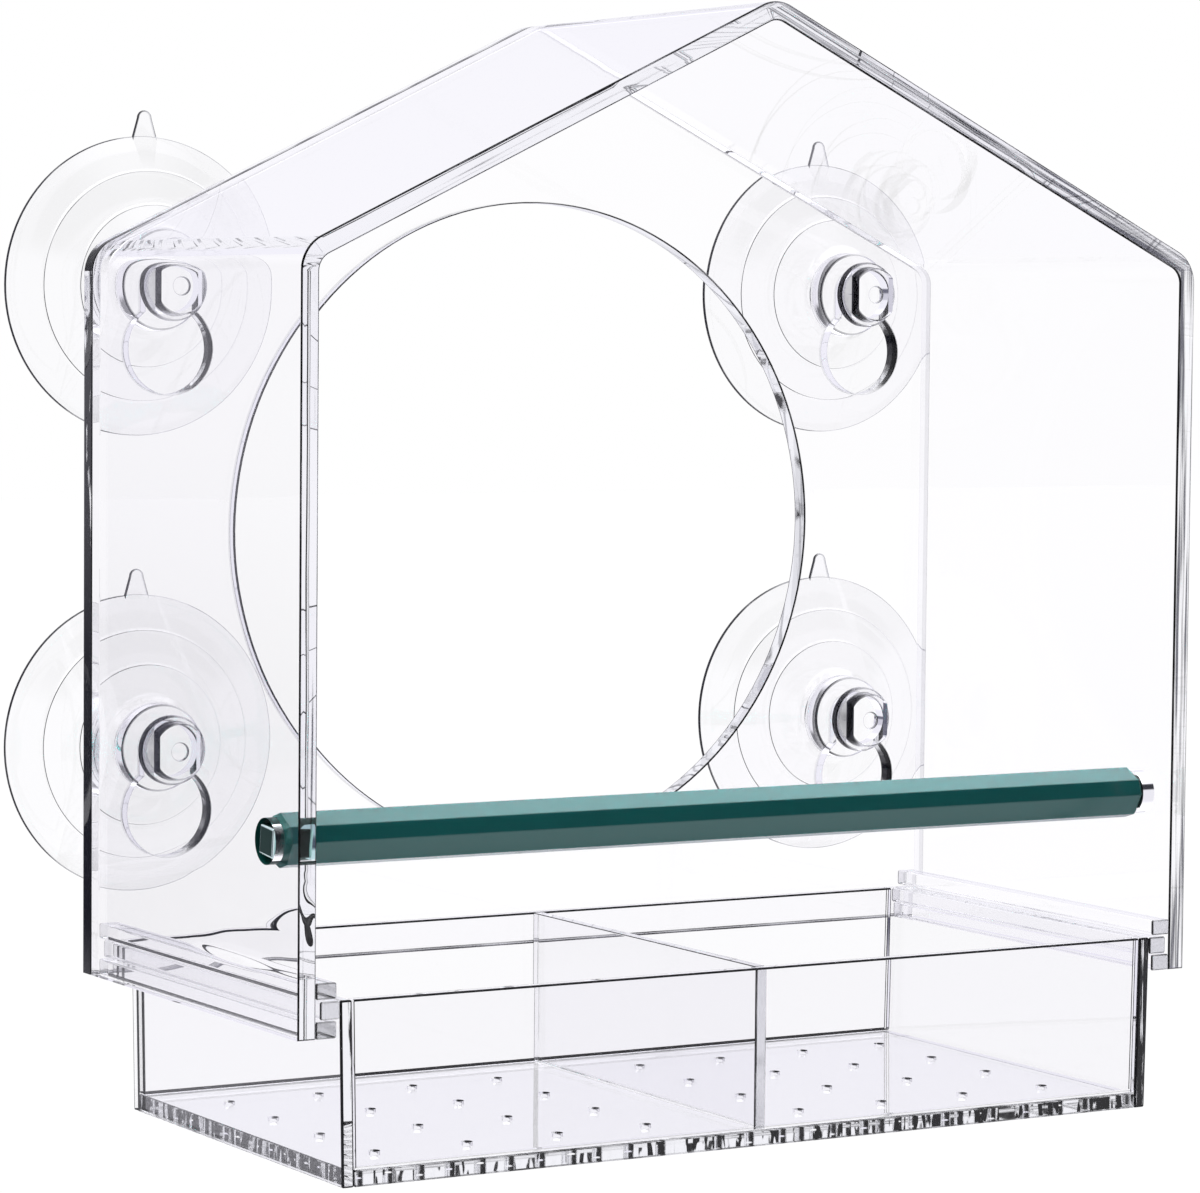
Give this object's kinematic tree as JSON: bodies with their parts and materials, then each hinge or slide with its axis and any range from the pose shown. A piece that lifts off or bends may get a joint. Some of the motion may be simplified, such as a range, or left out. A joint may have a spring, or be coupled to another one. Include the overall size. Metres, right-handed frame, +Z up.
{
  "type": "window bird feeder",
  "caption": "Clear gabled house that hangs on suction cups on a window pane, with a perch bar and a drained seed tray that slides out to the front.",
  "frame": {"origin": "on the window pane, in the middle of the four suction cups", "axes": "+Y towards the pane, +Z up, +X to the right for someone who looks at the open front"},
  "size_m": [0.278, 0.1361, 0.2725],
  "materials": {
    "clear_acrylic": "clear, polished",
    "tray_acrylic": "clear, polished",
    "soft_vinyl": "clear, soft, smooth",
    "green_plastic": "smooth, glossy"
  },
  "bodies": {
    "cups": {"suction_cup_upper_left": "soft_vinyl", "suction_cup_upper_right": "soft_vinyl", "suction_cup_lower_left": "soft_vinyl", "suction_cup_lower_right": "soft_vinyl"},
    "house": {"house_canopy": "clear_acrylic", "back_panel": "clear_acrylic", "lower_guide_strip_left": "clear_acrylic", "upper_guide_strip_left": "clear_acrylic", "lower_guide_strip_right": "clear_acrylic", "upper_guide_strip_right": "clear_acrylic"},
    "tray": {"tray_floor": "tray_acrylic", "tray_wall_front": "tray_acrylic", "tray_wall_back": "tray_acrylic", "tray_wall_left": "tray_acrylic", "tray_wall_right": "tray_acrylic", "tray_lip_left": "tray_acrylic", "tray_lip_right": "tray_acrylic", "tray_divider": "tray_acrylic"},
    "perch": {"perch_bar": "green_plastic"}
  },
  "joints": [
    {"name": "house_lift", "type": "slide", "parent": "cups", "child": "house", "axis": [0, 0, 1], "range_m": [0, 0.0155]},
    {"name": "tray_slide", "type": "slide", "parent": "house", "child": "tray", "axis": [0, -1, 0], "range_m": [0, 0.11]},
    {"name": "perch_roll", "type": "hinge", "parent": "house", "child": "perch", "pos_m": [0, -0.1191, -0.069], "axis": [1, 0, 0], "continuous": true}
  ]
}
